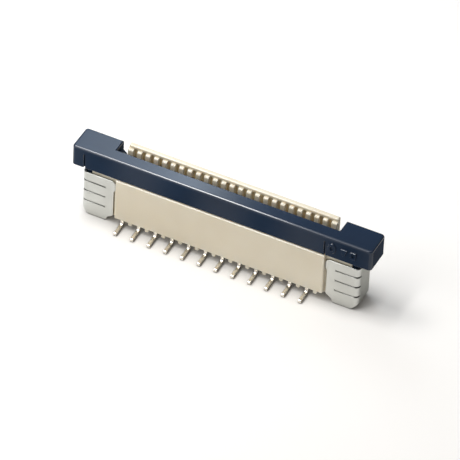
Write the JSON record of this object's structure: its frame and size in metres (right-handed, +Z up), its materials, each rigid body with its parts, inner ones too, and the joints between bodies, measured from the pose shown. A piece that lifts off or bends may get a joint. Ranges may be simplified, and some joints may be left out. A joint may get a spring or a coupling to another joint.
{
  "type": "fpc connector",
  "caption": "Upright surface-mount connector for a flat flexible cable, with a pull-up slider that locks the cable, spring contacts and two solder tabs.",
  "frame": {"origin": "on the board, at the middle of the connector's footprint", "axes": "+X along the row of contacts, -Y towards the front tails and the flat front wall, +Z up, away from the board"},
  "size_m": [0.0178, 0.0034, 0.0045],
  "materials": {
    "housing_plastic": "fine matte moulding",
    "slider_plastic": "satin moulding",
    "contact_metal": "tin plated",
    "tab_metal": "tin plated, brushed"
  },
  "bodies": {
    "base": {"housing": "housing_plastic", "contact_front_01": "contact_metal", "contact_front_02": "contact_metal", "contact_front_03": "contact_metal", "contact_front_04": "contact_metal", "contact_front_05": "contact_metal", "contact_front_06": "contact_metal", "contact_front_07": "contact_metal", "contact_front_08": "contact_metal", "contact_front_09": "contact_metal", "contact_front_10": "contact_metal", "contact_front_11": "contact_metal", "contact_front_12": "contact_metal", "contact_rear_01": "contact_metal", "contact_rear_02": "contact_metal", "contact_rear_03": "contact_metal", "contact_rear_04": "contact_metal", "contact_rear_05": "contact_metal", "contact_rear_06": "contact_metal", "contact_rear_07": "contact_metal", "contact_rear_08": "contact_metal", "contact_rear_09": "contact_metal", "contact_rear_10": "contact_metal", "contact_rear_11": "contact_metal", "contact_rear_12": "contact_metal", "solder_tab_left": "tab_metal", "solder_tab_right": "tab_metal"},
    "slider": {"slider": "slider_plastic"}
  },
  "joints": [
    {"name": "slider_slide", "type": "slide", "parent": "base", "child": "slider", "axis": [0, 0, 1], "range_m": [0, 0.001]}
  ]
}
